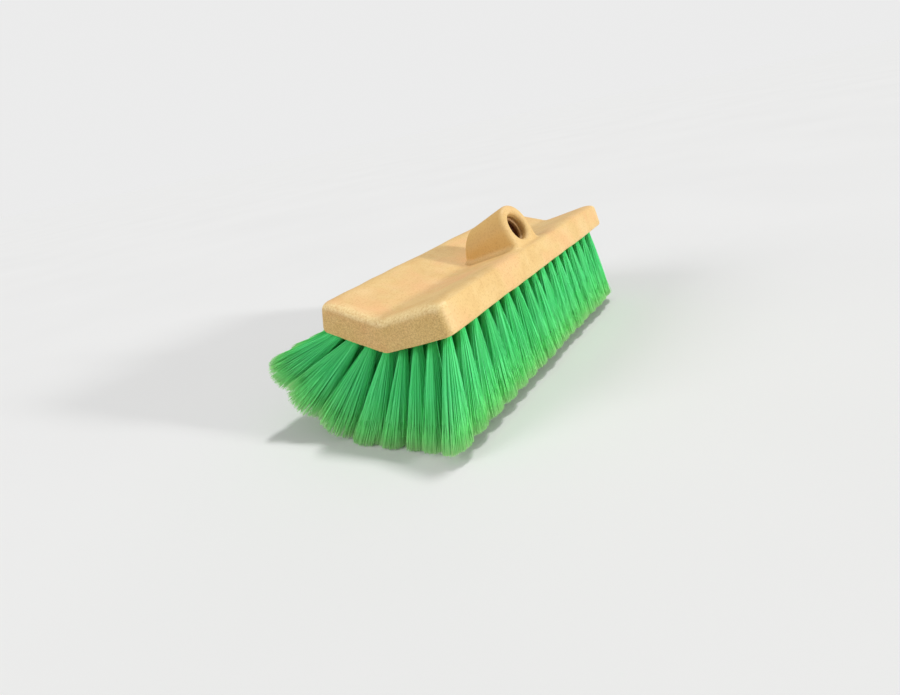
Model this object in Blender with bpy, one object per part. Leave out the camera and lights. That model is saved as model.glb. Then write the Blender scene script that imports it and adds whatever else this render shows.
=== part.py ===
"""Bi-level wash brush head: a moulded chevron block with a slanted handle socket, set with fanned bristle tufts.

Metres, +Z up. X runs along the block, Y across it with the handle's side at -Y. The brush stands on the
trimmed tips of its middle rows, with the middle of its box over the origin.
"""

import math

import bmesh
import bpy
import numpy as np
from mathutils import Matrix, Vector

# Block: two wings that meet at a rounded keel and slope up to the sides
BLOCK_LENGTH = 0.254
WING_WIDTH = 0.0508
WING_THICKNESS = 0.0206
WING_TILT = math.radians(15)
KEEL_RADIUS = 0.016
VALLEY_RADIUS = 0.012
LOWER_EDGE_RADIUS = 0.0026
KEEL_SEGMENTS = 3
VALLEY_SEGMENTS = 3
LOWER_EDGE_SEGMENTS = 3
# The upper edges are crowned: each is a quarter of an ellipse, wide on the top and low on the side or the end
RIDGE_WIDTH = 0.010
RIDGE_DROP = 0.0034
END_WIDTH = 0.008
END_DROP = 0.006
CORNER_RADIUS = 0.004
RIDGE_SEGMENTS = 6
END_SEGMENTS = 6
# How far round a ridge the hood's feet follow it down
RIDGE_REACH = math.radians(60)

# Socket boss: a round-topped hood across the valley, open at its upper end on the handle's side
SOCKET_TILT = math.radians(26)
SOCKET_OUT = 0.0331
SOCKET_HEIGHT = 0.0439
SOCKET_RADIUS = 0.0097
SOCKET_DEPTH = 0.033
SOCKET_LIP = 0.0022
SOCKET_FLOOR = 0.0015
HOOD_MOUTH_RADIUS = 0.0168
HOOD_REAR_RADIUS = 0.0164
HOOD_REAR = 0.0045
HOOD_MOUTH_EDGE = 0.0034
HOOD_REAR_EDGE = 0.0016
HOOD_FILLET = 0.0036
HOOD_ROOT = 0.003
HOOD_STATIONS = 5
HOOD_SEGMENTS = 24
# Rounds of the search for the place where a slanted section meets the block's top
FOOT_STEPS = 8
FILLET_SEGMENTS = 4
SOCKET_SEGMENTS = 32
LIP_SEGMENTS = 4

# Bristle ranks: each carries one tuft of every row of its wing on a slice of the backing
RANKS = 17
ROWS = 4
END_RIM = 0.00375
EDGE_TO_ROW = 0.011
SEAT_MARGIN = 0.0034
SLICE_THICKNESS = 0.004
SLICE_RECESS = 0.0002
SEAT_GAP = 0.0003

# Tufts: the leans are from straight down towards +Y, row by row from the +Y edge to the -Y edge
TRIM_LENGTH = 0.0625
STAND_DROP = 0.0555
FLAT_DEPTH = 0.0005
LEFT_LEANS = (math.radians(63), math.radians(48.5), math.radians(31), math.radians(14.5))
RIGHT_LEANS = (math.radians(6), math.radians(1), math.radians(-3), math.radians(-7.5))
# How much of the trim length each row keeps, in the leans' order
LEFT_TRIM_SHARES = (0.97, 0.99, 0.98, 1)
RIGHT_TRIM_SHARES = (1, 1, 0.95, 0.94)
NEAR_FLARE = math.radians(12)
FAR_FLARE = math.radians(2)
FLARE_POWER = 6
ROOT_SPREAD = 0.0014
ROOT_RADIUS = 0.0007
TIP_RADIUS = 0.002
ROOT_DEPTH = 0.0015
STRAND_SIDES = 3
# Each strand's place in its tuft, along the block and across it
STRAND_SHARES = ((0.4, -1), (-0.8, 0), (0.4, 1))
# How much of the gap to the nearest tuft's tip, along the block and across it, a tuft's own fan reaches
FAN_SHARES = (0.34, 0.25)

OVERRUN = 0.005
SMOOTH_ANGLE = math.radians(30)

UP = Vector((0, 0, 1))
ALONG = Vector((1, 0, 0))


def material(name, colour, roughness):
    made = bpy.data.materials.new(name)
    made.use_nodes = True
    shader = made.node_tree.nodes["Principled BSDF"]
    shader.inputs["Base Color"].default_value = (*colour, 1)
    shader.inputs["Roughness"].default_value = roughness
    shader.inputs["Metallic"].default_value = 0
    made.diffuse_color = (*colour, 1)
    return made


def new_object(name, bm, materials, smooth):
    """The mesh as an object, shaded flat, or smooth except at its sharp edges."""
    bmesh.ops.recalc_face_normals(bm, faces=bm.faces)
    mesh = bpy.data.meshes.new(name)
    bm.to_mesh(mesh)
    bm.free()
    obj = bpy.data.objects.new(name, mesh)
    bpy.context.scene.collection.objects.link(obj)
    for made in materials:
        mesh.materials.append(made)
    if smooth:
        mesh.shade_smooth()
        mesh.set_sharp_from_angle(angle=SMOOTH_ANGLE)
    return obj


def cutter(name, bm, smooth):
    """A helper that only booleans use."""
    obj = new_object(name, bm, [], smooth)
    obj.hide_render = True
    obj.display_type = "WIRE"
    return obj


def boolean(obj, other, operation):
    made = obj.modifiers.new(other.name, "BOOLEAN")
    made.operation = operation
    made.solver = "EXACT"
    made.object = other


def wing_point(side, across, rise):
    """A point of the section, from its distance along the wing's underside and its height square to that."""
    y = across * math.cos(WING_TILT) - rise * math.sin(WING_TILT)
    z = across * math.sin(WING_TILT) + rise * math.cos(WING_TILT)
    return Vector((0, side * y, z))


def quarter(segments):
    """Angles that share out a quarter turn."""
    return [math.pi / 2 * i / segments for i in range(segments + 1)]


def loft(rings):
    """A closed solid through rings that have as many points each."""
    bm = bmesh.new()
    rows = [[bm.verts.new(point) for point in ring] for ring in rings]
    for near, far in zip(rows, rows[1:]):
        for i in range(len(near)):
            following = (i + 1) % len(near)
            bm.faces.new((near[i], near[following], far[following], far[i]))
    bm.faces.new(rows[0])
    bm.faces.new(rows[-1])
    return bm


def arc(radius, height, segments):
    """Points from the middle out to where the arc touches the wing's plane above the given height."""
    centre = height + radius / math.cos(WING_TILT)
    angles = [WING_TILT * i / segments for i in range(segments + 1)]
    return [Vector((0, radius * math.sin(a), centre - radius * math.cos(a))) for a in angles]


def ridge_points(width, thickness, ease):
    """The crowned upper edge from the side to the top, easing at the block's ends to the corner's radius."""
    across = RIDGE_WIDTH + (CORNER_RADIUS - RIDGE_WIDTH) * ease
    return [
        wing_point(1, width - across * (1 - math.cos(angle)), thickness - RIDGE_DROP * (1 - math.sin(angle)))
        for angle in quarter(RIDGE_SEGMENTS)
    ]


def half_section(top_inset, side_inset):
    """The +Y half of the block's section, from the keel round to the valley, drawn in at its top and its side."""
    width = WING_WIDTH - side_inset
    thickness = WING_THICKNESS - top_inset
    points = arc(KEEL_RADIUS, 0, KEEL_SEGMENTS)
    for angle in quarter(LOWER_EDGE_SEGMENTS):
        across = width - LOWER_EDGE_RADIUS * (1 - math.sin(angle))
        points.append(wing_point(1, across, LOWER_EDGE_RADIUS * (1 - math.cos(angle))))
    points += ridge_points(width, thickness, top_inset / END_DROP)
    return points + list(reversed(arc(VALLEY_RADIUS, thickness / math.cos(WING_TILT), VALLEY_SEGMENTS)))


def section(x, top_inset, side_inset):
    """The whole section at a place along the block."""
    half = [point + ALONG * x for point in half_section(top_inset, side_inset)]
    mirror = Matrix.Scale(-1, 3, Vector((0, 1, 0)))
    return half + [mirror @ point for point in reversed(half[1:-1])]


def inset(depth, width, drop):
    """How far a rounded edge is drawn in, at a depth from the face that it turns into."""
    return drop * (1 - math.sqrt(1 - max(1 - depth / width, 0) ** 2))


def block_mesh():
    """The chevron drawn out to the block's length, with its ends drawn in to round them."""
    depths = [END_WIDTH * (1 - math.cos(angle)) for angle in quarter(END_SEGMENTS)]
    places = [(depth - BLOCK_LENGTH / 2, depth) for depth in depths]
    places += [(-x, depth) for x, depth in reversed(places)]
    return loft(
        [
            section(x, inset(depth, END_WIDTH, END_DROP), inset(depth, CORNER_RADIUS, CORNER_RADIUS))
            for x, depth in places
        ]
    )


def top_height(y):
    """Height of the block's top at a distance from the middle, as far round the ridge as the hood reaches."""
    points = half_section(0, 0)[-RIDGE_SEGMENTS - VALLEY_SEGMENTS - 2 :]
    reach = RIDGE_WIDTH * (1 - math.sin(RIDGE_REACH))
    last = wing_point(1, WING_WIDTH - reach, WING_THICKNESS - RIDGE_DROP * (1 - math.cos(RIDGE_REACH)))
    points = [point for point in reversed(points) if point.y < last.y] + [last]
    return float(np.interp(abs(y), [point.y for point in points], [point.z for point in points]))


def socket_axis(out):
    """A point of the socket's slanted axis, from its distance out from the middle of the block."""
    return Vector((0, -out, SOCKET_HEIGHT + (out - SOCKET_OUT) * math.tan(SOCKET_TILT)))


def hood_stations():
    """(point on the axis, tilt of the section's plane, radius) from the upright rear to the mouth, square to the axis."""
    stations = []
    for turn in quarter(FILLET_SEGMENTS):
        out = HOOD_REAR_EDGE * (1 - math.cos(turn)) - HOOD_REAR
        radius = HOOD_REAR_RADIUS - HOOD_REAR_EDGE * (1 - math.sin(turn))
        stations.append((socket_axis(out), 0, radius))
    first = HOOD_REAR_EDGE - HOOD_REAR
    last = SOCKET_OUT - HOOD_MOUTH_EDGE * math.cos(SOCKET_TILT)
    for i in range(1, HOOD_STATIONS):
        share = i / HOOD_STATIONS
        radius = HOOD_REAR_RADIUS + (HOOD_MOUTH_RADIUS - HOOD_REAR_RADIUS) * share
        stations.append((socket_axis(first + (last - first) * share), SOCKET_TILT * share, radius))
    for turn in quarter(FILLET_SEGMENTS):
        back = HOOD_MOUTH_EDGE * (1 - math.sin(turn))
        radius = HOOD_MOUTH_RADIUS - HOOD_MOUTH_EDGE * (1 - math.cos(turn))
        stations.append((socket_axis(SOCKET_OUT - back * math.cos(SOCKET_TILT)), SOCKET_TILT, radius))
    return stations


def hood_section(centre, tilt, radius):
    """The hood's outline in one plane across it: a round top, straight sides and splayed feet on the block."""
    up = Vector((0, math.sin(tilt), math.cos(tilt)))
    foot = centre
    for _ in range(FOOT_STEPS):
        foot = centre - up * ((centre.z - top_height(foot.y)) / up.z)
    half = []
    for angle in reversed(quarter(HOOD_SEGMENTS // 2)):
        rise = radius / math.cos(SOCKET_TILT - tilt) * math.sin(angle)
        half.append(centre + ALONG * (radius * math.cos(angle)) + up * rise)
    for angle in quarter(FILLET_SEGMENTS):
        out = radius + HOOD_FILLET * (1 - math.cos(angle))
        half.append(foot + ALONG * out + up * (HOOD_FILLET * (1 - math.sin(angle))))
    half.append(foot + ALONG * (radius + HOOD_FILLET) - up * HOOD_ROOT)
    mirror = Matrix.Scale(-1, 3, ALONG)
    return half + [mirror @ point for point in reversed(half[1:])]


def hood_mesh():
    """The socket's hood, lofted along its slanted axis, with its rear corner and the mouth's rim rounded."""
    return loft([hood_section(*station) for station in hood_stations()])


def socket_mesh():
    """The handle's hole as a turned solid: a flared mouth, a straight wall and a coned floor."""
    profile = [(0, -OVERRUN), (SOCKET_RADIUS + SOCKET_LIP, -OVERRUN)]
    for angle in quarter(LIP_SEGMENTS):
        inward = SOCKET_RADIUS + SOCKET_LIP * (1 - math.sin(angle))
        profile.append((inward, SOCKET_LIP * (1 - math.cos(angle))))
    profile += [(SOCKET_RADIUS, SOCKET_DEPTH - SOCKET_FLOOR), (SOCKET_RADIUS - SOCKET_FLOOR, SOCKET_DEPTH)]
    profile.append((0, SOCKET_DEPTH))
    bm = bmesh.new()
    rings = []
    for radius, depth in profile:
        count = SOCKET_SEGMENTS if radius > 0 else 1
        turns = [2 * math.pi * i / SOCKET_SEGMENTS for i in range(count)]
        rings.append([bm.verts.new((radius * math.cos(t), radius * math.sin(t), -depth)) for t in turns])
    for near, far in zip(rings, rings[1:]):
        for i in range(SOCKET_SEGMENTS):
            corners = [near[i % len(near)], near[(i + 1) % len(near)], far[(i + 1) % len(far)], far[i % len(far)]]
            bm.faces.new(list(dict.fromkeys(corners)))
    turn = Matrix.Rotation(math.pi / 2 - SOCKET_TILT, 4, "X")
    place = Matrix.Translation((0, -SOCKET_OUT, SOCKET_HEIGHT))
    bm.transform(place @ turn)
    return bm


def box_mesh(low, high):
    bm = bmesh.new()
    bmesh.ops.create_cube(bm, size=1)
    for vert in bm.verts:
        vert.co = Vector([(high[i] if vert.co[i] > 0 else low[i]) for i in range(3)])
    return bm


def wing_frame(side):
    """Turns a box's own X, Y and Z into along the block, out along the wing and up through it."""
    return Matrix.Rotation(side * WING_TILT, 4, "X")


def wing_box(side, x_span, across_span, rise_span):
    """A box lying in a wing, from its spans along the block, out along the wing and up through it."""
    out = sorted(side * across for across in across_span)
    bm = box_mesh((x_span[0], out[0], rise_span[0]), (x_span[1], out[1], rise_span[1]))
    bm.transform(wing_frame(side))
    return bm


def row_pitch():
    return (WING_WIDTH - EDGE_TO_ROW) / (ROWS - 0.5)


def rank_pitch():
    return (BLOCK_LENGTH - 2 * END_RIM) / RANKS


def seat_span():
    """Where the slices lie across a wing, from its keel side to its outer side."""
    return row_pitch() / 2 - SEAT_MARGIN, WING_WIDTH - EDGE_TO_ROW + SEAT_MARGIN


def tuft_root(side, row):
    """Where a tuft leaves its slice, with row 0 nearest the wing's outer edge."""
    across = WING_WIDTH - EDGE_TO_ROW - row * row_pitch()
    return wing_point(side, across, SLICE_RECESS)


def leaning(lean):
    return Vector((0, math.sin(lean), -math.cos(lean)))


def tuft_rows():
    """(side, root, lean, length, fan) of each row from the +Y edge to the -Y edge.

    The fan is half the width that a row's tufts spread to, a share of the gap to the next row's tips.
    """
    sides = [1] * ROWS + [-1] * ROWS
    roots = [tuft_root(1, row) for row in range(ROWS)] + [tuft_root(-1, row) for row in reversed(range(ROWS))]
    leans = LEFT_LEANS + RIGHT_LEANS
    lengths = [TRIM_LENGTH * share for share in LEFT_TRIM_SHARES + RIGHT_TRIM_SHARES]
    tips = [root + leaning(lean) * length for root, lean, length in zip(roots, leans, lengths)]
    gaps = [(b - a).length for a, b in zip(tips, tips[1:])]
    fans = [min(gaps[max(i - 1, 0) : i + 1]) * FAN_SHARES[1] for i in range(len(tips))]
    return list(zip(sides, roots, leans, lengths, fans))


def end_flare(rank):
    """How far a rank's tufts splay towards the block's end."""
    middle = (RANKS - 1) / 2
    share = (rank - middle) / middle
    return (FAR_FLARE if share > 0 else -NEAR_FLARE) * abs(share) ** FLARE_POWER


def strand_points(side, root, lean, length, fan, rank, index):
    """The corners of one strand's buried end and of its tip, which the stand's plane cuts flat."""
    x = (rank - (RANKS - 1) / 2) * rank_pitch()
    flip = -1 if rank % 2 else 1
    along_share, across_share = STRAND_SHARES[index]
    wing = Vector((0, math.cos(WING_TILT), side * math.sin(WING_TILT)))
    across = Vector((0, math.cos(lean), math.sin(lean)))
    step = ROOT_SPREAD / across.dot(wing)
    start = root + ALONG * (x + flip * along_share * ROOT_SPREAD) + wing * (across_share * step)
    fan_along = rank_pitch() * FAN_SHARES[0] * flip * along_share
    reach = leaning(lean) * length + across * (across_share * fan)
    reach += ALONG * (length * math.tan(end_flare(rank)) + fan_along)
    drop = start.z + STAND_DROP + FLAT_DEPTH
    reach *= min(1, drop / max(-reach.z, FLAT_DEPTH))
    aim = reach.normalized()
    normal = wing.cross(ALONG)
    buried = start - aim * (ROOT_DEPTH / abs(aim.dot(normal)))
    tip = start + reach
    sideways = aim.cross(ALONG).normalized()
    forward = sideways.cross(aim)
    base, end = [], []
    for i in range(STRAND_SIDES):
        angle = 2 * math.pi * i / STRAND_SIDES
        out = forward * math.cos(angle) + sideways * math.sin(angle)
        low, high = buried + out * ROOT_RADIUS, tip + out * TIP_RADIUS
        if high.z < -STAND_DROP:
            high = low + (high - low) * ((low.z + STAND_DROP) / (low.z - high.z))
        base.append(low)
        end.append(high)
    return base, end


def strands_mesh(side, rank):
    """The strands of a rank's tufts, each a slim prism that widens to its trimmed tip."""
    bm = bmesh.new()
    for row in tuft_rows():
        if row[0] != side:
            continue
        for index in range(len(STRAND_SHARES)):
            base, end = strand_points(*row, rank, index)
            low = [bm.verts.new(point) for point in base]
            high = [bm.verts.new(point) for point in end]
            faces = [bm.faces.new(low), bm.faces.new(high)]
            for i in range(STRAND_SIDES):
                following = (i + 1) % STRAND_SIDES
                faces.append(bm.faces.new((low[i], low[following], high[following], high[i])))
            for face in faces:
                face.material_index = 1
    return bm


def make_block(plastic):
    """The moulded block, with the hood joined to it, the socket bored and a seat cut under each wing."""
    block = new_object("brush_block", block_mesh(), [plastic], True)
    boolean(block, cutter("hood", hood_mesh(), True), "UNION")
    boolean(block, cutter("socket", socket_mesh(), True), "DIFFERENCE")
    half = BLOCK_LENGTH / 2 - END_RIM
    low, high = seat_span()
    for side, word in ((1, "left"), (-1, "right")):
        seat = wing_box(
            side,
            (-half - SEAT_GAP, half + SEAT_GAP),
            (low - SEAT_GAP, high + SEAT_GAP),
            (-OVERRUN, SLICE_RECESS + SLICE_THICKNESS + SEAT_GAP),
        )
        boolean(block, cutter(f"seat_{word}", seat, False), "DIFFERENCE")
    cutters = [made.object for made in block.modifiers]
    block.modifiers.new("even_shading", "WEIGHTED_NORMAL").keep_sharp = True
    return block, cutters


def make_rank(side, rank, plastic, bristle):
    """One slice of the backing with its tufts, one from each row of the wing."""
    word = "left" if side > 0 else "right"
    middle = (rank - (RANKS - 1) / 2) * rank_pitch()
    half = (rank_pitch() - SEAT_GAP) / 2
    slice_mesh = wing_box(
        side,
        (middle - half, middle + half),
        seat_span(),
        (SLICE_RECESS, SLICE_RECESS + SLICE_THICKNESS),
    )
    obj = new_object(f"tuft_rank_{word}_{rank + 1:02d}", slice_mesh, [plastic, bristle], False)
    strands = cutter(f"strands_{word}_{rank + 1:02d}", strands_mesh(side, rank), False)
    strands.data.materials.append(plastic)
    strands.data.materials.append(bristle)
    boolean(obj, strands, "UNION")
    return obj, strands


def box_middle():
    """The middle of the brush's box, seen from above, from the tips' reach and the block's."""
    half = ALONG * (BLOCK_LENGTH / 2)
    reach = [wing_point(side, WING_WIDTH, 0) + half * end for side in (1, -1) for end in (1, -1)]
    for row in tuft_rows():
        for rank in range(RANKS):
            for index in range(len(STRAND_SHARES)):
                reach += strand_points(*row, rank, index)[1]
    spans = [(min(values) + max(values)) / 2 for values in zip(*reach)]
    return Vector((spans[0], spans[1], 0))


def main():
    for obj in list(bpy.data.objects):
        bpy.data.objects.remove(obj)
    plastic = material("tan_foam_plastic", (0.72, 0.47, 0.22), 0.55)
    bristle = material("green_bristle", (0.06, 0.45, 0.12), 0.5)
    stand = bpy.data.objects.new("stand", None)
    stand.location = UP * STAND_DROP - box_middle()
    bpy.context.scene.collection.objects.link(stand)
    block, cutters = make_block(plastic)
    pieces = [block] + cutters
    for side in (1, -1):
        for rank in range(RANKS):
            pieces += make_rank(side, rank, plastic, bristle)
    for obj in pieces:
        obj.parent = stand


main()
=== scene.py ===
"""Looks of the bi-level wash brush head.

The moulded block, its bristles, the floor, the lights and the camera.
"""

import math

import bmesh
import bpy
import numpy as np
from mathutils import Matrix, Vector


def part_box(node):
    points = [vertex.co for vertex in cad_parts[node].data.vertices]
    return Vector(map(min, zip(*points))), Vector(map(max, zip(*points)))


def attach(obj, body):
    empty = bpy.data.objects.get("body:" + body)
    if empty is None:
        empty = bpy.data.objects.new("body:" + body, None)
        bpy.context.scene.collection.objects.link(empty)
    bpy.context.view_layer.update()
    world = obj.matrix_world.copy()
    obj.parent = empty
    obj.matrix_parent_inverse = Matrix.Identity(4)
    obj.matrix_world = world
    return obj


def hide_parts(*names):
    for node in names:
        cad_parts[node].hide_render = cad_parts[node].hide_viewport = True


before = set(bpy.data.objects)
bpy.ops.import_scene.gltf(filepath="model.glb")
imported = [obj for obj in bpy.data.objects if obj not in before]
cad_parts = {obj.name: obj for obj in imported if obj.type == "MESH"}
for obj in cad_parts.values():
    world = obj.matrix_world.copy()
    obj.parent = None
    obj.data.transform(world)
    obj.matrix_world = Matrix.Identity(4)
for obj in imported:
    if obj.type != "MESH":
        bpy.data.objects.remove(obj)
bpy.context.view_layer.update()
block_low, block_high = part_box("brush_block")

# Block, in metres: the sizes that the frame's box alone doesn't give
WING_WIDTH = 0.0508
WING_THICKNESS = 0.0206
WING_TILT = math.radians(15)
KEEL_RADIUS = 0.016
VALLEY_RADIUS = 0.012
LOWER_EDGE_RADIUS = 0.0026
# The upper edges are crowned: each is a quarter of an ellipse, wide on the top and low on the
# side or the end
RIDGE_WIDTH = 0.010
RIDGE_DROP = 0.0034
END_WIDTH = 0.008
END_DROP = 0.006
CORNER_RADIUS = 0.004
ARC_STEPS = 14
END_STEPS = 14
# How far round a ridge the hood's feet follow it down
RIDGE_REACH = math.radians(60)

# Socket boss
SOCKET_TILT = math.radians(26)
SOCKET_OUT = 0.0331
SOCKET_HEIGHT = 0.0439
SOCKET_RADIUS = 0.0097
SOCKET_DEPTH = 0.033
SOCKET_LIP = 0.0032
SOCKET_FLOOR = 0.0015
SOCKET_SEGMENTS = 96
LIP_STEPS = 8
HOOD_MOUTH_RADIUS = 0.0168
HOOD_REAR_RADIUS = 0.0164
HOOD_REAR = 0.0045
HOOD_MOUTH_EDGE = 0.0034
HOOD_REAR_EDGE = 0.0019
HOOD_FILLET = 0.0036
HOOD_ROOT = 0.003
HOOD_STATIONS = 24
HOOD_SEGMENTS = 64
FILLET_STEPS = 9
FOOT_STEPS = 10

# Thread of the socket
THREAD_PITCH = 0.00508
THREAD_HEIGHT = 0.0012
THREAD_CREST = 0.0011
THREAD_FLANK = 0.0006
THREAD_START = 0.0035
THREAD_END = 0.029
THREAD_FADE = 0.003
THREAD_STEP = 0.0003

# Moulded surface
VOXEL = 0.00075
MOST_FACES = 185000
SOFTENING_ROUNDS = 4
SHARP_ANGLE = math.radians(40)
# How far what cuts a hole stands out of the surface that it cuts
OVERRUN = 0.005
SINK_DEPTH = 0.00012
SINK_WAVES = 14
SINK_LENGTHS = (0.018, 0.07)
# Where the hood's painted shade fades in, as (start, reach): up from the block's top, and in
# from the mouth
HOOD_SHADE_FADE = (0.0005, 0.004)
HOOD_SHADE_RING_FADE = (0.0005, 0.004)
# The same for the painted shade in the socket's inside, in from the mouth, and how far past its
# wall it still counts
BORE_SHADE_FADE = (0.003, 0.007)
BORE_SHADE_MARGIN = 0.0003
# The same for the ends' painted shade and their sandy grain, out from the start of their rounded
# edge
END_SHADE_AND_GRAIN_FADE = (0.004, 0.004)
# Where the painted highlight on the crown of an end fades in and out, by how far the skin faces up
CROWN_HIGHLIGHT_RISE = (0.1, 0.5)
CROWN_HIGHLIGHT_FALL = (0.86, 0.13)

# Tufts: the leans are from straight down towards +Y, row by row from the +Y edge to the -Y edge
RANKS = 17
ROWS = 4
END_RIM = 0.00375
EDGE_TO_ROW = 0.011
TRIM_LENGTH = 0.0625
LEFT_LEANS = (63, 48.5, 31, 14.5)
RIGHT_LEANS = (6, 1, -3, -7.5)
LEFT_TRIM_SHARES = (0.97, 0.99, 0.98, 1)
RIGHT_TRIM_SHARES = (1, 1, 0.97, 0.96)
# How far the first rank of each row splays towards the block's near end, in degrees, and the last
# rank towards the far end
LEFT_FLARES = (13, 17, 18, 18.5)
RIGHT_FLARES = (18, 14.5, 16.5, 19.5)
FAR_FLARE = 2
# Above one, the ranks near the ends take more of the splay
FLARE_POWER = 2
HOLE_RADIUS = 0.0025
HOLE_DEPTH = 0.006
HOLE_SEGMENTS = 20
BUNDLE_RADIUS = 0.0021

# Filaments of one tuft
FILAMENTS = 480
FILAMENT_RADIUS = 0.00018
FILAMENT_SIDES = 3
FILAMENT_RINGS = 5
# Below one half, more of a tuft's filaments stand near its outside
SPREAD_POWER = 0.44
ROOT_DEPTH = 0.0035
# Flags are the finer branches that each filament splits into near its tip
FLAGS = 2
FLAG_START_SHARE = 0.74
FLAG_SPREAD = 0.0006
FLAG_RADIUS_SHARE = 0.6
TIP_RADIUS_SHARE = 1.2
# How far the tips stand out from the middle of their tuft, along the block and across it, row by
# row as the leans
FAN_ALONG = 0.0098
LEFT_FANS = (0.0115, 0.0138, 0.0142, 0.0126)
RIGHT_FANS = (0.0085, 0.0075, 0.007, 0.006)
FAN_NOISE_SHARE = 0.022
CLUMPS = 16
CLUMP_PULL_SHARE = 0.10
LENGTH_NOISE_SHARE = 0.004
THICKNESS_NOISE_SHARE = 0.1
TUFT_TILT = math.radians(1)
BEND = 0.0005
STRAY_SHARE = 0.007
STRAY_REACH_SHARE = 0.4
FLOOR_CLEARANCE = 0.0003
TRIM_NOISE = 0.0007
# The least that a filament falls from its root to its tip
LEAST_FALL = 1e-6
# Where a filament's shade stands between the darkest, 0, and the palest, 1
TINT_MIDDLE = 0.5
TINT_NOISE = 0.1
TUFT_TINT_NOISE = 0.04
# Painted light: how much paler the strays are painted
STRAY_PAINTED_LIGHT = 0.3
SEED = 11

# Foam plastic: its clouds, as (scale, detail, roughness, distortion)
MOTTLE_CLOUDS = (55, 5, 0.6, 0.5)
FLUSH_CLOUDS = (30, 3, 0.6, 0.3)
BLOOM_CLOUDS = (38, 4, 0.65, 0.2)
SAND_CLOUDS = (1000, 3, 0.7, 0)
# Patches of the painted highlight on the ends' crowns
CROWN_HIGHLIGHT_CLOUDS = (700, 3, 0.5, 0)
SPECK_CLOUDS = (900, 2, 0.6, 0)
GLOSS_CLOUDS = (60, 4, 0.5, 0)
PEEL_CLOUDS = (520, 4, 0.6, 0)
DENT_CLOUDS = (70, 2, 0.5, 0)
# What the clouds are turned into, as (cloud from, cloud to, value from, value to)
FLUSH_SPAN = (0.45, 0.7, 0, 0.7)
BLOOM_SPAN = (0.54, 0.74, 0, 0.5)
# Painted shade on the hood
HOOD_SHADE_SPAN = (0, 1, 0, 0.75)
SAND_SPAN = (0.42, 0.60, 0, 0.9)
# Patches of the painted highlight on the ends' crowns
CROWN_HIGHLIGHT_SPAN = (0.3, 0.65, 0.25, 0.95)
SPECK_SPAN = (0.50, 0.70, 0, 0.6)
ROUGHNESS_SPAN = (0.3, 0.7, 0.50, 0.66)
PEEL_DEPTH = 0.0002
DENT_DEPTH = 0.0003
# Its ground, as (place in the clouds, tone), and the tones that lie over it
MOTTLE_TONES = (
    (0.30, (0.80, 0.52, 0.20)),
    (0.48, (0.85, 0.575, 0.23)),
    (0.62, (0.875, 0.61, 0.26)),
    (0.80, (0.895, 0.615, 0.285)),
)
FLUSH_TONE = (0.92, 0.535, 0.25)
BLOOM_TONE = (0.93, 0.68, 0.33)
# Painted shade: the hood browner and darker than the block, with its lit ring left out
HOOD_SHADE_TONE = (0.71, 0.43, 0.125)
# Painted shade: the socket's inside darker
BORE_SHADE_TONE = (0.25, 0.12, 0.13)
# Painted shade: the ends darker
END_SHADE_TONE = (0.87, 0.87, 0.78)
SAND_TONE = (0.74, 0.68, 0.58)
# Painted highlight on the ends' crowns
CROWN_HIGHLIGHT_TONE = (1.0, 0.78, 0.39)
SPECK_TONE = (0.80, 0.70, 0.58)

# Bristle: the tones from a filament's root to its tip, with painted shade at the root and tips
# paler partly as flagged tips are and partly as painted light; and what the shades of filaments
# do to them, the palest being the strays' painted light
FILAMENT_TONES_AND_PAINTED_LIGHT = (
    (0.00, (0.040, 0.50, 0.130)),
    (0.10, (0.088, 0.95, 0.285)),
    (0.50, (0.108, 0.985, 0.315)),
    (0.72, (0.150, 0.99, 0.290)),
    (0.88, (0.250, 0.995, 0.280)),
    (1.00, (0.480, 0.995, 0.370)),
)
SHADE_TONES = (
    (0.0, (0.60, 0.68, 0.62)),
    (0.5, (1.0, 1.0, 1.0)),
    (1.0, (1.5, 1.05, 1.30)),
)
BRISTLE_ROUGHNESS = 0.45

# Camera: where it stands from the keel's corner line under the middle of the block
EYE = Vector((-0.35773, -0.21321, 0.11730))
EYE_ANGLES = (68.4377, 10.5796, -58.2862)
SENSOR_MM = 36
# The focal length over the picture's width
FOCAL_SHARE = 566.5 / 900

# Lights: (name, azimuth from +X and elevation of where it comes from, size, level on a surface
# that faces it), with the angles in degrees
SUNS = (
    ("key", -81, 13, 6, 0.57),
    ("top", 0, 67, 8, 0.385),
    ("fill", 143, 28, 30, 0.31),
)
SKY_LEVEL = 0.34
# What the camera sees of the sky is as pale as the floor
BACKDROP_LEVEL = 0.835
FLOOR_SIZE = 60
FLOOR_CLOUDS = (3, 3, 0.5, 0)
FLOOR_TONES = ((0.3, (0.85, 0.85, 0.845)), (0.7, (0.87, 0.87, 0.865)))


def keel_middle():
    """Where the planes of the two undersides meet, under the middle of the block."""
    middle = (Vector(block_low) + Vector(block_high)) / 2
    rounding = KEEL_RADIUS * (1 / math.cos(WING_TILT) - 1)
    return Vector((middle.x, middle.y, block_low[2] - rounding))


KEEL = keel_middle()
BLOCK_LENGTH = block_high[0] - block_low[0]
ALONG = Vector((1, 0, 0))


# Materials

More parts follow.
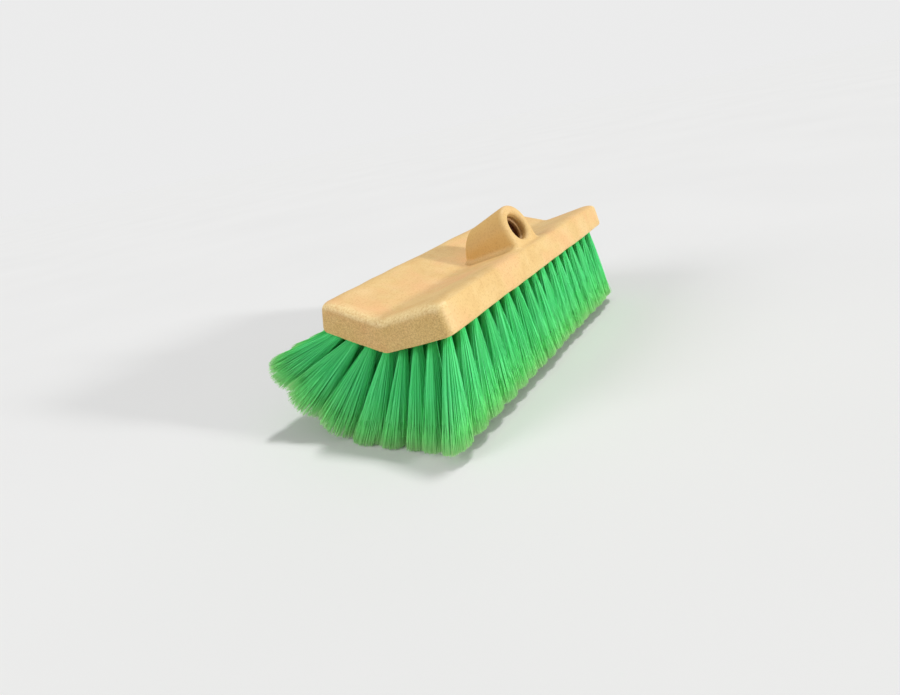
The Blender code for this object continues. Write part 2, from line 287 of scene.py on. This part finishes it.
class Shader:
    """A material's nodes, made one after the other."""

    def __init__(self, name):
        self.material = bpy.data.materials.new(name)
        self.material.use_nodes = True
        self.tree = self.material.node_tree
        self.principled = self.tree.nodes["Principled BSDF"]
        self.place = self.tree.nodes.new("ShaderNodeTexCoord").outputs["Object"]

    def link(self, source, target):
        """Joins a socket to an input, or sets the input to a plain value."""
        if isinstance(source, bpy.types.NodeSocket):
            self.tree.links.new(source, target)
        else:
            target.default_value = source

    def clouds(self, scale, detail, roughness, distortion):
        """Soft noise that stands still on the piece."""
        made = self.tree.nodes.new("ShaderNodeTexNoise")
        made.inputs["Scale"].default_value = scale
        made.inputs["Detail"].default_value = detail
        made.inputs["Roughness"].default_value = roughness
        made.inputs["Distortion"].default_value = distortion
        self.link(self.place, made.inputs["Vector"])
        return made.outputs["Fac"]

    def attribute(self, name):
        """A value that the mesh carries at its points."""
        made = self.tree.nodes.new("ShaderNodeAttribute")
        made.attribute_name = name
        return made.outputs["Fac"]

    def ramp(self, source, stops):
        """Tones in the order of their places, with smooth changes from each to the next."""
        made = self.tree.nodes.new("ShaderNodeValToRGB")
        elements = made.color_ramp.elements
        while len(elements) < len(stops):
            elements.new(0.5)
        for element, (position, colour) in zip(elements, stops):
            element.position = position
            element.color = (*colour, 1)
        self.link(source, made.inputs["Fac"])
        return made.outputs["Color"]

    def span(self, source, low, high, to_low, to_high):
        """Turns the values from low to high into those from to_low to to_high."""
        made = self.tree.nodes.new("ShaderNodeMapRange")
        ends = {"From Min": low, "From Max": high, "To Min": to_low, "To Max": to_high}
        for name, value in ends.items():
            made.inputs[name].default_value = value
        self.link(source, made.inputs["Value"])
        return made.outputs["Result"]

    def cloudy_span(self, clouds, span):
        return self.span(self.clouds(*clouds), *span)

    def mix(self, blend, factor, first, second):
        made = self.tree.nodes.new("ShaderNodeMix")
        made.data_type = "RGBA"
        made.blend_type = blend
        self.link(factor, made.inputs["Factor"])
        self.link(first, made.inputs["A"])
        self.link(second, made.inputs["B"])
        return made.outputs["Result"]

    def product(self, first, second):
        return self.mix("MULTIPLY", 1.0, first, second)

    def bump(self, height, depth, before=None):
        """Relief so deep, over the relief made before it."""
        made = self.tree.nodes.new("ShaderNodeBump")
        made.inputs["Distance"].default_value = depth
        self.link(height, made.inputs["Height"])
        if before is not None:
            self.link(before, made.inputs["Normal"])
        return made.outputs["Normal"]


def foam_plastic():
    """Tan structural foam, sandy on the ends, with painted shade that makes the hood browner and
    the socket's inside and the ends darker, and a painted highlight on the ends' crowns.
    """
    shader = Shader("tan_foam_plastic")
    base = shader.principled.inputs
    # Where the ends' painted shade and their sandy grain lie
    end = shader.attribute("end")
    sand = shader.product(end, shader.cloudy_span(SAND_CLOUDS, SAND_SPAN))
    # Painted highlight on the ends' crowns, in patches
    patchy_highlight = shader.cloudy_span(CROWN_HIGHLIGHT_CLOUDS, CROWN_HIGHLIGHT_SPAN)
    crown_highlight = shader.product(shader.attribute("crown"), patchy_highlight)
    tone = shader.ramp(shader.clouds(*MOTTLE_CLOUDS), MOTTLE_TONES)
    for blend, share, over in (
        ("MIX", shader.cloudy_span(FLUSH_CLOUDS, FLUSH_SPAN), FLUSH_TONE),
        ("MIX", shader.cloudy_span(BLOOM_CLOUDS, BLOOM_SPAN), BLOOM_TONE),
        # Painted shade on the hood
        ("MIX", shader.span(shader.attribute("hood"), *HOOD_SHADE_SPAN), HOOD_SHADE_TONE),
        # Painted shade in the socket's inside
        ("MULTIPLY", shader.attribute("bore_shade"), BORE_SHADE_TONE),
        # Painted shade on the ends
        ("MULTIPLY", end, END_SHADE_TONE),
        ("MULTIPLY", sand, SAND_TONE),
        # Painted highlight on the ends' crowns
        ("MIX", crown_highlight, CROWN_HIGHLIGHT_TONE),
        ("MULTIPLY", shader.cloudy_span(SPECK_CLOUDS, SPECK_SPAN), SPECK_TONE),
    ):
        tone = shader.mix(blend, share, tone, (*over, 1))
    shader.link(tone, base["Base Color"])
    shader.link(shader.cloudy_span(GLOSS_CLOUDS, ROUGHNESS_SPAN), base["Roughness"])
    peel = shader.bump(shader.clouds(*PEEL_CLOUDS), PEEL_DEPTH)
    shader.link(shader.bump(shader.clouds(*DENT_CLOUDS), DENT_DEPTH, peel), base["Normal"])
    return shader.material


def bristle():
    """Green filament, with painted shade at the root, and paler and yellower towards the flagged
    tips, partly as flagged tips are and partly as painted light.
    """
    shader = Shader("green_bristle")
    # Tones along the filament: painted shade at the root, and tips paler partly as flagged tips
    # are and partly as painted light
    tone = shader.ramp(shader.attribute("along"), FILAMENT_TONES_AND_PAINTED_LIGHT)
    # Each filament's own shade, paler on strays as painted light
    shade = shader.ramp(shader.attribute("tint"), SHADE_TONES)
    shader.link(shader.product(tone, shade), shader.principled.inputs["Base Color"])
    shader.principled.inputs["Roughness"].default_value = BRISTLE_ROUGHNESS
    return shader.material


# Mesh helpers

def new_object(name, mesh, material):
    obj = bpy.data.objects.new(name, mesh)
    bpy.context.scene.collection.objects.link(obj)
    if material is not None:
        mesh.materials.append(material)
    return obj


def mesh_object(name, bm, material=None):
    """An object of the gathered faces, turned to face out."""
    bmesh.ops.recalc_face_normals(bm, faces=bm.faces)
    mesh = bpy.data.meshes.new(name)
    bm.to_mesh(mesh)
    bm.free()
    return new_object(name, mesh, material)


def loft(rings):
    """A closed solid through rings of as many points each."""
    bm = bmesh.new()
    rows = [[bm.verts.new(point) for point in ring] for ring in rings]
    for near, far in zip(rows, rows[1:]):
        for i in range(len(near)):
            following = (i + 1) % len(near)
            bm.faces.new((near[i], near[following], far[following], far[i]))
    bm.faces.new(rows[0])
    bm.faces.new(rows[-1])
    return bm


def settle(obj):
    """Replaces the object's mesh by what its modifiers make of it."""
    graph = bpy.context.evaluated_depsgraph_get()
    made = bpy.data.meshes.new_from_object(obj.evaluated_get(graph))
    old = obj.data
    obj.modifiers.clear()
    obj.data = made
    bpy.data.meshes.remove(old)


def cut_or_join(obj, other, operation):
    """Cuts the other object out of this one or joins it on, and removes it."""
    made = obj.modifiers.new(other.name, "BOOLEAN")
    made.operation = operation
    made.solver = "EXACT"
    made.object = other
    settle(obj)
    bpy.data.objects.remove(other)


# Block

def wing_point(side, across, rise):
    """A point of the section, so far across the wing's underside and so high square to it."""
    y = across * math.cos(WING_TILT) - rise * math.sin(WING_TILT)
    z = across * math.sin(WING_TILT) + rise * math.cos(WING_TILT)
    return Vector((0, side * y, z))


def quarter(steps):
    """Angles of a quarter turn."""
    return [math.pi / 2 * i / steps for i in range(steps + 1)]


def arc_point(radius, centre, angle):
    """A point of the keel's or the valley's arc, whose centre stands over the middle."""
    return Vector((0, radius * math.sin(angle), centre - radius * math.cos(angle)))


def half_section(top_inset, side_inset):
    """The +Y half of the section, from the keel round to the valley, drawn in by two insets."""
    width = WING_WIDTH - side_inset
    thickness = WING_THICKNESS - top_inset
    ridge_width = RIDGE_WIDTH + (CORNER_RADIUS - RIDGE_WIDTH) * top_inset / END_DROP
    keel = KEEL_RADIUS / math.cos(WING_TILT)
    points = []
    for i in range(ARC_STEPS + 1):
        points.append(arc_point(KEEL_RADIUS, keel, WING_TILT * i / ARC_STEPS))
    for angle in quarter(ARC_STEPS):
        across = width - LOWER_EDGE_RADIUS * (1 - math.sin(angle))
        points.append(wing_point(1, across, LOWER_EDGE_RADIUS * (1 - math.cos(angle))))
    for angle in quarter(ARC_STEPS):
        across = width - ridge_width * (1 - math.cos(angle))
        points.append(wing_point(1, across, thickness - RIDGE_DROP * (1 - math.sin(angle))))
    valley = (thickness + VALLEY_RADIUS) / math.cos(WING_TILT)
    for i in range(ARC_STEPS + 1):
        points.append(arc_point(VALLEY_RADIUS, valley, WING_TILT * (1 - i / ARC_STEPS)))
    return points


def section(x, top_inset, side_inset):
    """The whole section, at a place along the block."""
    half = [point + ALONG * x for point in half_section(top_inset, side_inset)]
    mirror = Matrix.Scale(-1, 3, Vector((0, 1, 0)))
    return half + [mirror @ point for point in reversed(half[1:-1])]


def inset(depth, width, drop):
    """How far a rounded edge is drawn in, at a depth from the face that it turns into."""
    return drop * (1 - math.sqrt(1 - max(1 - depth / width, 0) ** 2))


def block_rings():
    """Sections from end to end, close together where the ends are rounded."""
    depths = [END_WIDTH * (1 - math.cos(angle)) for angle in quarter(END_STEPS)]
    places = [(depth - BLOCK_LENGTH / 2, depth) for depth in depths]
    places += [(-x, depth) for x, depth in reversed(places)]
    return [
        section(x, inset(depth, END_WIDTH, END_DROP), inset(depth, CORNER_RADIUS, CORNER_RADIUS))
        for x, depth in places
    ]


def top_outline():
    """(distances from the middle, heights) of the block's top, as far as the hood's feet reach."""
    ridge = half_section(0, 0)[-2 * (ARC_STEPS + 1) :]
    reach = RIDGE_WIDTH * math.sin(RIDGE_REACH) - RIDGE_WIDTH
    drop = RIDGE_DROP * (1 - math.cos(RIDGE_REACH))
    limit = wing_point(1, WING_WIDTH + reach, WING_THICKNESS - drop)
    kept = [point for point in reversed(ridge) if point.y < limit.y] + [limit]
    return [point.y for point in kept], [point.z for point in kept]


TOP_Y, TOP_Z = top_outline()


def top_height(y):
    return float(np.interp(abs(y), TOP_Y, TOP_Z))


# Hood and socket

def socket_axis(out):
    """A point of the socket's slanted axis, from its distance out from the middle of the block."""
    return Vector((0, -out, SOCKET_HEIGHT + (out - SOCKET_OUT) * math.tan(SOCKET_TILT)))


def hood_stations():
    """(point on the axis, tilt of the section, radius), from the upright rear to the mouth."""
    stations = []
    for turn in quarter(FILLET_STEPS):
        out = HOOD_REAR_EDGE * (1 - math.cos(turn)) - HOOD_REAR
        radius = HOOD_REAR_RADIUS - HOOD_REAR_EDGE * (1 - math.sin(turn))
        stations.append((socket_axis(out), 0, radius))
    first = HOOD_REAR_EDGE - HOOD_REAR
    last = SOCKET_OUT - HOOD_MOUTH_EDGE * math.cos(SOCKET_TILT)
    for i in range(1, HOOD_STATIONS):
        share = i / HOOD_STATIONS
        radius = HOOD_REAR_RADIUS + (HOOD_MOUTH_RADIUS - HOOD_REAR_RADIUS) * share
        stations.append((socket_axis(first + (last - first) * share), SOCKET_TILT * share, radius))
    for turn in quarter(FILLET_STEPS):
        back = HOOD_MOUTH_EDGE * (1 - math.sin(turn))
        out = SOCKET_OUT - back * math.cos(SOCKET_TILT)
        radius = HOOD_MOUTH_RADIUS - HOOD_MOUTH_EDGE * (1 - math.cos(turn))
        stations.append((socket_axis(out), SOCKET_TILT, radius))
    return stations


def hood_section(centre, tilt, radius):
    """The hood's outline in one plane: a round top, straight sides and feet on the block."""
    up = Vector((0, math.sin(tilt), math.cos(tilt)))
    foot = centre
    for _ in range(FOOT_STEPS):
        foot = centre - up * ((centre.z - top_height(foot.y)) / up.z)
    half = []
    for angle in reversed(quarter(HOOD_SEGMENTS // 2)):
        rise = radius / math.cos(SOCKET_TILT - tilt) * math.sin(angle)
        half.append(centre + ALONG * (radius * math.cos(angle)) + up * rise)
    for angle in quarter(FILLET_STEPS):
        out = radius + HOOD_FILLET * (1 - math.cos(angle))
        half.append(foot + ALONG * out + up * (HOOD_FILLET * (1 - math.sin(angle))))
    half.append(foot + ALONG * (radius + HOOD_FILLET) - up * HOOD_ROOT)
    mirror = Matrix.Scale(-1, 3, ALONG)
    return half + [mirror @ point for point in reversed(half[1:])]


def thread_rise(turn, depth):
    """How far the thread's ridge stands in from the socket's wall, at a turn and a depth."""
    phase = (depth / THREAD_PITCH - turn) % 1
    off = abs(phase - 0.5) * THREAD_PITCH
    ridge = min(max((THREAD_CREST + THREAD_FLANK - off) / THREAD_FLANK, 0), 1)
    fade = min(max(min(depth - THREAD_START, THREAD_END - depth) / THREAD_FADE, 0), 1)
    return THREAD_HEIGHT * ridge * fade


def socket_rings():
    """The threaded hole as rings: a flared mouth, a wall with a helical ridge, a coned floor."""
    profile = [(SOCKET_RADIUS + SOCKET_LIP, -OVERRUN)]
    for angle in quarter(LIP_STEPS):
        radius = SOCKET_RADIUS + SOCKET_LIP * (1 - math.sin(angle))
        profile.append((radius, SOCKET_LIP * (1 - math.cos(angle))))
    floor = SOCKET_DEPTH - SOCKET_FLOOR
    steps = round((floor - SOCKET_LIP) / THREAD_STEP)
    for i in range(1, steps + 1):
        profile.append((SOCKET_RADIUS, SOCKET_LIP + (floor - SOCKET_LIP) * i / steps))
    profile.append((SOCKET_RADIUS - SOCKET_FLOOR, SOCKET_DEPTH))
    rings = []
    for radius, depth in profile:
        ring = []
        for i in range(SOCKET_SEGMENTS):
            turn = i / SOCKET_SEGMENTS
            angle = 2 * math.pi * turn
            reach = radius - thread_rise(turn, depth)
            ring.append(Vector((reach * math.cos(angle), reach * math.sin(angle), -depth)))
        rings.append(ring)
    return rings


def socket_cutter():
    bm = loft(socket_rings())
    turn = Matrix.Rotation(math.pi / 2 - SOCKET_TILT, 4, "X")
    bm.transform(Matrix.Translation((0, -SOCKET_OUT, SOCKET_HEIGHT)) @ turn)
    return mesh_object("socket_cutter", bm)


# Places of the tufts

def row_pitch():
    """How far the rows are apart: the row next to the keel is half of that from it."""
    return (WING_WIDTH - EDGE_TO_ROW) / (ROWS - 0.5)


def rank_pitch():
    return (BLOCK_LENGTH - 2 * END_RIM) / RANKS


def leaning(lean):
    """The way that a tuft points, from its lean."""
    return Vector((0, math.sin(lean), -math.cos(lean)))


def tuft_rows(side):
    """(root, lean, length, fan, near flare) of a wing's rows, outer edge to keel."""
    if side > 0:
        looks = list(zip(LEFT_LEANS, LEFT_TRIM_SHARES, LEFT_FANS, LEFT_FLARES))
    else:
        looks = list(zip(RIGHT_LEANS, RIGHT_TRIM_SHARES, RIGHT_FANS, RIGHT_FLARES))[::-1]
    rows = []
    for row, (lean, share, fan, flare) in enumerate(looks):
        root = wing_point(side, WING_WIDTH - EDGE_TO_ROW - row * row_pitch(), 0)
        rows.append((root, math.radians(lean), TRIM_LENGTH * share, fan, math.radians(flare)))
    return rows


def rank_place(rank):
    """Where a rank stands along the block."""
    return (rank - (RANKS - 1) / 2) * rank_pitch()


def end_flare(rank, near_flare):
    """How far a rank's tufts splay towards the block's end."""
    middle = (RANKS - 1) / 2
    share = (rank - middle) / middle
    return (math.radians(FAR_FLARE) if share > 0 else -near_flare) * abs(share) ** FLARE_POWER


def holes_cutter():
    """The drilled holes of all the tufts, each along its tuft's own lean."""
    bm = bmesh.new()
    length = HOLE_DEPTH + OVERRUN
    for side in (1, -1):
        for root, lean, *_ in tuft_rows(side):
            aim = leaning(lean)
            turn = aim.to_track_quat("Z", "Y").to_matrix().to_4x4()
            for rank in range(RANKS):
                middle = root + ALONG * rank_place(rank) + aim * ((OVERRUN - HOLE_DEPTH) / 2)
                bmesh.ops.create_cone(
                    bm,
                    cap_ends=True,
                    segments=HOLE_SEGMENTS,
                    radius1=HOLE_RADIUS,
                    radius2=HOLE_RADIUS,
                    depth=length,
                    matrix=Matrix.Translation(middle) @ turn,
                )
    return mesh_object("holes_cutter", bm)


def vertex_values(mesh, name):
    values = np.empty(len(mesh.vertices) * 3)
    mesh.vertices.foreach_get(name, values)
    return values.reshape(-1, 3)


def add_sinks(mesh):
    """Shallow unevenness of a shrunk moulding: a sum of slow waves along the skin's normals."""
    rng = np.random.default_rng(SEED)
    places = vertex_values(mesh, "co")
    rise = np.zeros(len(places))
    for _ in range(SINK_WAVES):
        direction = rng.normal(size=3)
        direction /= np.linalg.norm(direction)
        wave = rng.uniform(*SINK_LENGTHS)
        rise += np.sin(places @ direction * (2 * math.pi / wave) + rng.uniform(0, 2 * math.pi))
    rise *= SINK_DEPTH * math.sqrt(2 / SINK_WAVES)
    places += vertex_values(mesh, "normal") * rise[:, None]
    mesh.vertices.foreach_set("co", places.ravel())
    mesh.update()


def fade_in(values, fade):
    """0 up to where a fade starts, and 1 from where it is full."""
    start, reach = fade
    return np.clip((values - start) / reach, 0, 1)


def add_tones(mesh):
    """Marks the painted shade on the hood, in the socket's inside and on the block's ends, whose
    mark also holds their sandy grain, and the painted highlight on the ends' crowns.
    """
    places = vertex_values(mesh, "co")
    above = places[:, 2] - np.interp(np.abs(places[:, 1]), TOP_Y, TOP_Z)
    mouth = np.array(socket_axis(SOCKET_OUT))
    inward = np.array((0, math.cos(SOCKET_TILT), -math.sin(SOCKET_TILT)))
    depth = (places - mouth) @ inward
    radius = np.linalg.norm(places - mouth - depth[:, None] * inward, axis=1)
    # Painted shade on the hood, fading out towards the lit ring at the mouth
    hood = fade_in(above, HOOD_SHADE_FADE) * fade_in(depth, HOOD_SHADE_RING_FADE)
    inside = (radius < SOCKET_RADIUS + BORE_SHADE_MARGIN) & (depth < SOCKET_DEPTH + BORE_SHADE_MARGIN)
    # Painted shade in the socket's inside, darker deeper in
    bore_shade = fade_in(depth, BORE_SHADE_FADE) * inside
    into_end = np.abs(places[:, 0]) - BLOCK_LENGTH / 2 + END_WIDTH
    # Painted shade on the ends, also where their sandy grain lies
    end = fade_in(into_end, END_SHADE_AND_GRAIN_FADE)
    upward = vertex_values(mesh, "normal")[:, 2]
    # Painted highlight where an end's crown faces partly up
    crown = fade_in(upward, CROWN_HIGHLIGHT_RISE) * (1 - fade_in(upward, CROWN_HIGHLIGHT_FALL)) * (into_end > 0)
    for title, values in (("hood", hood), ("bore_shade", bore_shade), ("end", end), ("crown", crown)):
        made = mesh.attributes.new(title, "FLOAT", "POINT")
        made.data.foreach_set("value", values.astype(np.float32))


def make_block(plastic):
    """The block and its hood as one softened skin, with the socket and the tufts' holes cut in."""
    block = mesh_object("moulded_block", loft(block_rings()), plastic)
    hood = mesh_object("hood", loft([hood_section(*station) for station in hood_stations()]))
    cut_or_join(block, hood, "UNION")
    remesh = block.modifiers.new("remesh", "REMESH")
    remesh.mode = "VOXEL"
    remesh.voxel_size = VOXEL
    soften = block.modifiers.new("soften", "SMOOTH")
    soften.iterations = SOFTENING_ROUNDS
    settle(block)
    add_sinks(block.data)
    cut_or_join(block, socket_cutter(), "DIFFERENCE")
    cut_or_join(block, holes_cutter(), "DIFFERENCE")
    block.modifiers.new("triangles", "TRIANGULATE")
    settle(block)
    if len(block.data.polygons) > MOST_FACES:
        fewer = block.modifiers.new("fewer", "DECIMATE")
        fewer.ratio = MOST_FACES / len(block.data.polygons)
        settle(block)
    add_tones(block.data)
    block.data.shade_smooth()
    block.data.set_sharp_from_angle(angle=SHARP_ANGLE)
    block.data.transform(Matrix.Translation(KEEL))
    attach(block, "root")
    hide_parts("brush_block")


# Bristles

class Tubes:
    """Many slim closed tubes, gathered into one mesh."""

    def __init__(self):
        self.points = []
        self.quads = []
        self.caps = []
        self.along = []
        self.tint = []
        self.count = 0

    def add(self, centres, radii, along, tint):
        """Tubes from centres (tubes, rings, 3) and radii (tubes, rings)."""
        tubes, rings, _ = centres.shape
        aim = centres[:, -1] - centres[:, 0]
        aim /= np.linalg.norm(aim, axis=1)[:, None]
        first = np.cross(aim, np.array(ALONG))
        first /= np.linalg.norm(first, axis=1)[:, None]
        second = np.cross(aim, first)
        sides = FILAMENT_SIDES
        angles = 2 * math.pi * np.arange(sides) / sides
        out = first[:, None] * np.cos(angles)[:, None] + second[:, None] * np.sin(angles)[:, None]
        points = centres[:, :, None] + radii[:, :, None, None] * out[:, None]
        index = self.count + np.arange(tubes * rings * sides).reshape(tubes, rings, sides)
        low, high = index[:, :-1], index[:, 1:]
        quads = np.stack((low, np.roll(low, -1, 2), np.roll(high, -1, 2), high), -1)
        self.points.append(points.reshape(-1, 3))
        self.quads.append(quads.reshape(-1, 4))
        self.caps += [index[:, 0, ::-1], index[:, -1]]
        self.along.append(np.repeat(along.reshape(-1), sides))
        self.tint.append(np.repeat(tint, rings * sides))
        self.count += tubes * rings * sides

    def mesh(self, name):
        """All the tubes, with each point's place along its filament and its filament's shade."""
        quads = np.concatenate(self.quads)
        caps = np.concatenate(self.caps)
        corners = np.concatenate((quads.ravel(), caps.ravel()))
        sizes = np.concatenate((np.full(len(quads), 4), np.full(len(caps), FILAMENT_SIDES)))
        mesh = bpy.data.meshes.new(name)
        mesh.vertices.add(self.count)
        mesh.vertices.foreach_set("co", np.concatenate(self.points).ravel())
        mesh.loops.add(len(corners))
        mesh.loops.foreach_set("vertex_index", corners)
        mesh.polygons.add(len(sizes))
        mesh.polygons.foreach_set("loop_start", np.concatenate(([0], np.cumsum(sizes)[:-1])))
        mesh.update(calc_edges=True)
        for title, values in (("along", self.along), ("tint", self.tint)):
            made = mesh.attributes.new(title, "FLOAT", "POINT")
            made.data.foreach_set("value", np.concatenate(values).astype(np.float32))
        mesh.validate()
        mesh.shade_smooth()
        return mesh


def sunflower(count):
    """Places in a disc of radius one, a golden angle apart and closer towards its rim."""
    turns = np.arange(count) * math.pi * (3 - math.sqrt(5))
    reach = ((np.arange(count) + 0.5) / count) ** SPREAD_POWER
    return np.stack((reach * np.cos(turns), reach * np.sin(turns)), 1)


def clumped(spots, rng):
    """Draws places a little towards a few of their own, as flagged tips catch on each other."""
    heads = spots[rng.choice(len(spots), CLUMPS, replace=False)]
    nearest = np.argmin(np.linalg.norm(spots[:, None] - heads[None], axis=2), axis=1)
    return spots + (heads[nearest] - spots) * CLUMP_PULL_SHARE


def tuft_tips(spots, rng):
    """Where the filaments' tips stand in the disc, and which of them stray from the others."""
    tips = clumped(spots, rng) + rng.normal(0, FAN_NOISE_SHARE, spots.shape)
    stray = rng.random(FILAMENTS) < STRAY_SHARE
    tips[stray] *= 1 + STRAY_REACH_SHARE * rng.random((stray.sum(), 1))
    return tips, stray


def tuft_tints(stray, rng):
    """The filaments' shades: each tuft has its own, and strays are painted paler, as painted
    light.
    """
    tint = rng.normal(TINT_MIDDLE, TINT_NOISE, FILAMENTS) + rng.normal(0, TUFT_TINT_NOISE)
    tint = np.clip(tint, 0, 1)
    # Painted light on the strays
    tint[stray] = np.clip(tint[stray] + STRAY_PAINTED_LIGHT, 0, 1)
    return tint


def add_tuft(tubes, rank, rng, root, lean, length, fan, near_flare):
    """One tuft: filaments that leave the hole in a tight bundle and fan out to flagged tips."""
    lean += rng.uniform(-TUFT_TILT, TUFT_TILT)
    aim = np.array(leaning(lean))
    across = np.array((0, math.cos(lean), math.sin(lean)))
    along = np.array(ALONG)
    spots = sunflower(FILAMENTS)
    tips, stray = tuft_tips(spots, rng)
    start = np.array(root) + along * rank_place(rank) + np.array(KEEL)
    start = start + (spots[:, :1] * along + spots[:, 1:] * across) * BUNDLE_RADIUS
    slant = math.tan(end_flare(rank, near_flare) + rng.uniform(-TUFT_TILT, TUFT_TILT))
    reach = aim * length + tips[:, :1] * along * FAN_ALONG + tips[:, 1:] * across * fan
    lengths = length * (1 + rng.normal(0, LENGTH_NOISE_SHARE, FILAMENTS))
    reach *= (lengths / np.linalg.norm(reach, axis=1))[:, None]
    reach += along * length * slant
    lowest = FLOOR_CLEARANCE + FLAG_SPREAD / 2 + rng.random(FILAMENTS) * TRIM_NOISE
    room = (start[:, 2] - lowest) / np.maximum(-reach[:, 2], LEAST_FALL)
    reach *= np.minimum(1, room)[:, None]
    bend = rng.normal(0, BEND, (FILAMENTS, 2))
    bend = bend[:, :1] * along + bend[:, 1:] * across

    def place(share):
        share = np.asarray(share)[None, :, None]
        bowed = bend[:, None] * (4 * share * (1 - share))
        return start[:, None] + reach[:, None] * share + bowed

    shares = np.linspace(-ROOT_DEPTH / length, 1, FILAMENT_RINGS)
    thickness = FILAMENT_RADIUS * (1 + rng.normal(0, THICKNESS_NOISE_SHARE, FILAMENTS))
    tint = tuft_tints(stray, rng)
    taper = np.where(shares < FLAG_START_SHARE, 1, TIP_RADIUS_SHARE)
    shown = np.broadcast_to(np.clip(shares, 0, 1), (FILAMENTS, FILAMENT_RINGS))
    tubes.add(place(shares), thickness[:, None] * taper, shown, tint)
    ends = np.array((FLAG_START_SHARE, 1))
    shown = np.broadcast_to(ends, (FILAMENTS, 2))
    radii = thickness[:, None] * np.array((FLAG_RADIUS_SHARE, FLAG_RADIUS_SHARE**2))
    for _ in range(FLAGS):
        spread = rng.normal(0, FLAG_SPREAD, (FILAMENTS, 2))
        centres = place(ends)
        centres[:, 1] += spread[:, :1] * along + spread[:, 1:] * across
        tubes.add(centres, radii, shown, tint)


def make_bristles(material):
    """A piece for each rank of each wing, with a tuft of each row."""
    rng = np.random.default_rng(SEED)
    for side, word in ((1, "left"), (-1, "right")):
        for rank in range(RANKS):
            tubes = Tubes()
            for row in tuft_rows(side):
                add_tuft(tubes, rank, rng, *row)
            piece = new_object(f"bristles_{word}_{rank + 1:02d}", tubes.mesh("bristles"), material)
            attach(piece, "root")
            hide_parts(f"tuft_rank_{word}_{rank + 1:02d}")


# Camera, floor and light

def make_camera():
    data = bpy.data.cameras.new("camera")
    data.sensor_width = SENSOR_MM
    data.lens = SENSOR_MM * FOCAL_SHARE
    camera = bpy.data.objects.new("camera", data)
    camera.location = KEEL + EYE
    camera.rotation_euler = [math.radians(angle) for angle in EYE_ANGLES]
    bpy.context.scene.collection.objects.link(camera)
    bpy.context.scene.camera = camera


def make_floor():
    shader = Shader("pale_floor")
    tone = shader.ramp(shader.clouds(*FLOOR_CLOUDS), FLOOR_TONES)
    shader.link(tone, shader.principled.inputs["Base Color"])
    shader.principled.inputs["Roughness"].default_value = 1.0
    shader.principled.inputs["Specular IOR Level"].default_value = 0.0
    bm = bmesh.new()
    bmesh.ops.create_grid(bm, x_segments=1, y_segments=1, size=FLOOR_SIZE / 2)
    floor = mesh_object("floor", bm, shader.material)


def make_light():
    for name, azimuth, elevation, size, level in SUNS:
        data = bpy.data.lights.new(name, "SUN")
        data.energy = level * math.pi
        data.angle = math.radians(size)
        lamp = bpy.data.objects.new(name, data)
        turn = math.radians(azimuth)
        rise = math.radians(elevation)
        flat = math.cos(rise)
        towards = Vector((math.cos(turn) * flat, math.sin(turn) * flat, math.sin(rise)))
        lamp.rotation_euler = towards.to_track_quat("Z", "Y").to_euler()
        bpy.context.scene.collection.objects.link(lamp)
    world = bpy.data.worlds.new("sky")
    world.use_nodes = True
    sky = world.node_tree.nodes["Background"]
    sky.inputs["Color"].default_value = (1, 1, 1, 1)
    seen = world.node_tree.nodes.new("ShaderNodeLightPath").outputs["Is Camera Ray"]
    level = world.node_tree.nodes.new("ShaderNodeMapRange")
    level.inputs["To Min"].default_value = SKY_LEVEL
    level.inputs["To Max"].default_value = BACKDROP_LEVEL
    world.node_tree.links.new(seen, level.inputs["Value"])
    world.node_tree.links.new(level.outputs["Result"], sky.inputs["Strength"])
    bpy.context.scene.world = world


bpy.context.scene.view_settings.view_transform = "Standard"
make_camera()
make_floor()
make_light()
make_block(foam_plastic())
make_bristles(bristle())
